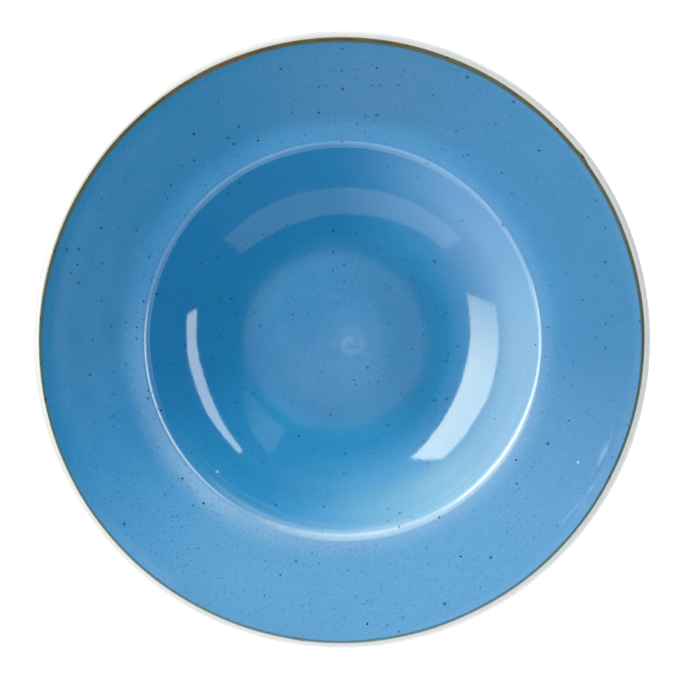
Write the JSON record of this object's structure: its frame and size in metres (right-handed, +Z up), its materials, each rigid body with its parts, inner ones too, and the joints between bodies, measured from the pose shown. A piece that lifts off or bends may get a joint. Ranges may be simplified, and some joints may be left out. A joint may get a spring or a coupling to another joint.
{
  "type": "rimmed soup plate",
  "caption": "Round soup plate with a deep rounded well, a wide sloping rim, a rolled lip and a low foot ring, glazed blue above and off-white below.",
  "frame": {"origin": "centre of the foot ring's standing plane, on the turning axis", "axes": "+Z up along the turning axis, out of the well; +Y towards the top of the picture and +X towards its right"},
  "size_m": [0.28, 0.28, 0.0462],
  "materials": {
    "clay": "bare fired stoneware, fine grain, matte",
    "blue_glaze": "glossy speckled blue glaze",
    "brown_glaze": "glossy olive-brown glaze that broke over the edge",
    "white_glaze": "glossy off-white glaze with fine specks",
    "iron": "dark iron bleeding through the glaze"
  },
  "bodies": {
    "root": {"clay_body": "clay", "face_glaze": "blue_glaze", "edge_band": "brown_glaze", "back_glaze": "white_glaze", "foot_recess_glaze": "white_glaze", "iron_specks": "iron"}
  },
  "joints": []
}
